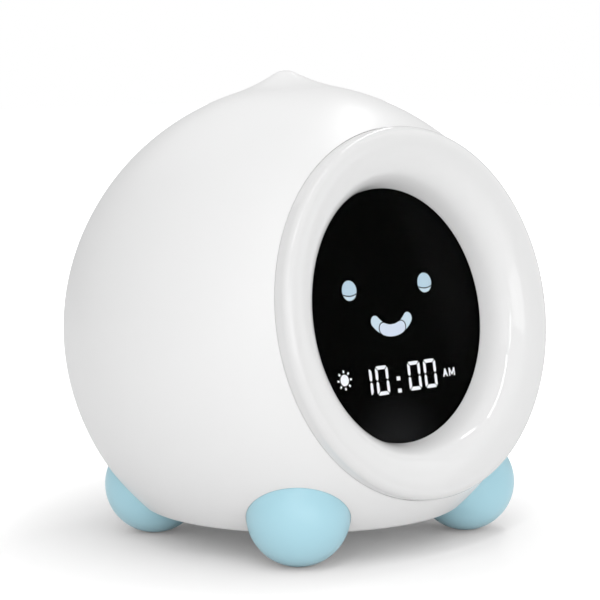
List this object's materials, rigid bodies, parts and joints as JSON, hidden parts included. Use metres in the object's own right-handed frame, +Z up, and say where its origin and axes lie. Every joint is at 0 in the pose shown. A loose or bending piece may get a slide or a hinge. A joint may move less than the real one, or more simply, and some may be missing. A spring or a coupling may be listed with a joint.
{
  "type": "kids alarm clock with night light",
  "caption": "Ball-shaped bedside alarm clock and night light with a small peak, a dished round face in a glossy ring, ball feet and a rear button panel.",
  "frame": {"origin": "middle of the part's bounding box at floor level, where the ball feet stand", "axes": "+Z up, the face looks along -Y, +X points to the right of someone who faces the clock"},
  "size_m": [0.1404, 0.1265, 0.1362],
  "materials": {
    "shell": "satin white moulding",
    "ring": "high gloss white",
    "screen": "high gloss smoked black",
    "mask": "matt black",
    "lit_blue": "lit diffuser, pale blue",
    "lit_pale": "lit diffuser, paler blue",
    "lit_soft": "lit diffuser, bluish white",
    "lit_white": "lit diffuser, white",
    "unlit": "unlit diffuser",
    "board": "green solder mask",
    "white_board": "white solder mask",
    "led": "light-emitting chips",
    "black_plastic": "matt black",
    "white_plastic": "matt white",
    "steel": "zinc plated",
    "foot": "high gloss pale blue",
    "cell": "plain printed jacket",
    "spring_metal": "nickel plated",
    "basket": "grey",
    "cone": "black paper-like film",
    "foam": "soft foam",
    "silicone": "soft silicone",
    "cable": "pale grey film",
    "lead": "insulated wire"
  },
  "bodies": {
    "body": {"body_shell": "shell", "front_bezel": "ring", "display_lens": "screen", "display_mask": "mask", "eye_windows": "lit_blue", "lid_windows": "lit_pale", "smile_window": "lit_soft", "smile_end_windows": "lit_pale", "clock_windows": "lit_white", "unlit_windows": "unlit", "display_board": "board", "display_leds": "led", "display_frame": "black_plastic", "display_screws": "steel", "base_plate": "shell", "base_screws": "steel", "foot_front_left": "foot", "foot_front_right": "foot", "foot_rear_left": "foot", "foot_rear_right": "foot", "foot_screws": "steel", "battery_cells": "cell", "battery_contacts": "spring_metal", "speaker_gasket": "foam", "speaker_basket": "basket", "speaker_cone": "cone", "main_board": "board", "main_board_parts": "black_plastic", "main_board_screws": "steel", "light_tower": "white_plastic", "light_board": "white_board", "light_leds": "led", "rear_panel": "shell", "key_board": "board", "key_board_screws": "steel", "key_switches": "black_plastic", "key_pad": "silicone", "usb_inlet": "steel", "display_cable": "cable", "key_cable": "cable", "speaker_lead": "lead", "battery_lead": "lead"},
    "light_button_cap": {"light_button": "foot"},
    "alarm_button_cap": {"alarm_button": "shell"},
    "sound_button_cap": {"sound_button": "shell"},
    "volume_up_button_cap": {"volume_up_button": "shell"},
    "volume_down_button_cap": {"volume_down_button": "shell"},
    "clock_button_cap": {"clock_button": "shell"},
    "battery_cover": {"battery_door": "shell", "battery_door_screws": "steel"}
  },
  "joints": [
    {"name": "light_button_press", "type": "slide", "parent": "body", "child": "light_button_cap", "axis": [0, -0.9956, 0.0941], "range_m": [0, 0.001], "stiffness_N_per_m": 900, "springref_m": -0.0012},
    {"name": "alarm_button_press", "type": "slide", "parent": "body", "child": "alarm_button_cap", "axis": [0, -0.9956, 0.0941], "range_m": [0, 0.001], "stiffness_N_per_m": 700, "springref_m": -0.001},
    {"name": "sound_button_press", "type": "slide", "parent": "body", "child": "sound_button_cap", "axis": [0, -0.9956, 0.0941], "range_m": [0, 0.001], "stiffness_N_per_m": 700, "springref_m": -0.001},
    {"name": "volume_up_button_press", "type": "slide", "parent": "body", "child": "volume_up_button_cap", "axis": [0, -0.9956, 0.0941], "range_m": [0, 0.001], "stiffness_N_per_m": 700, "springref_m": -0.001},
    {"name": "volume_down_button_press", "type": "slide", "parent": "body", "child": "volume_down_button_cap", "axis": [0, -0.9956, 0.0941], "range_m": [0, 0.001], "stiffness_N_per_m": 700, "springref_m": -0.001},
    {"name": "clock_button_press", "type": "slide", "parent": "body", "child": "clock_button_cap", "axis": [0, -0.9956, 0.0941], "range_m": [0, 0.001], "stiffness_N_per_m": 700, "springref_m": -0.001},
    {"name": "battery_cover_lift", "type": "slide", "parent": "body", "child": "battery_cover", "axis": [0, 0, -1], "range_m": [0, 0.018]}
  ]
}
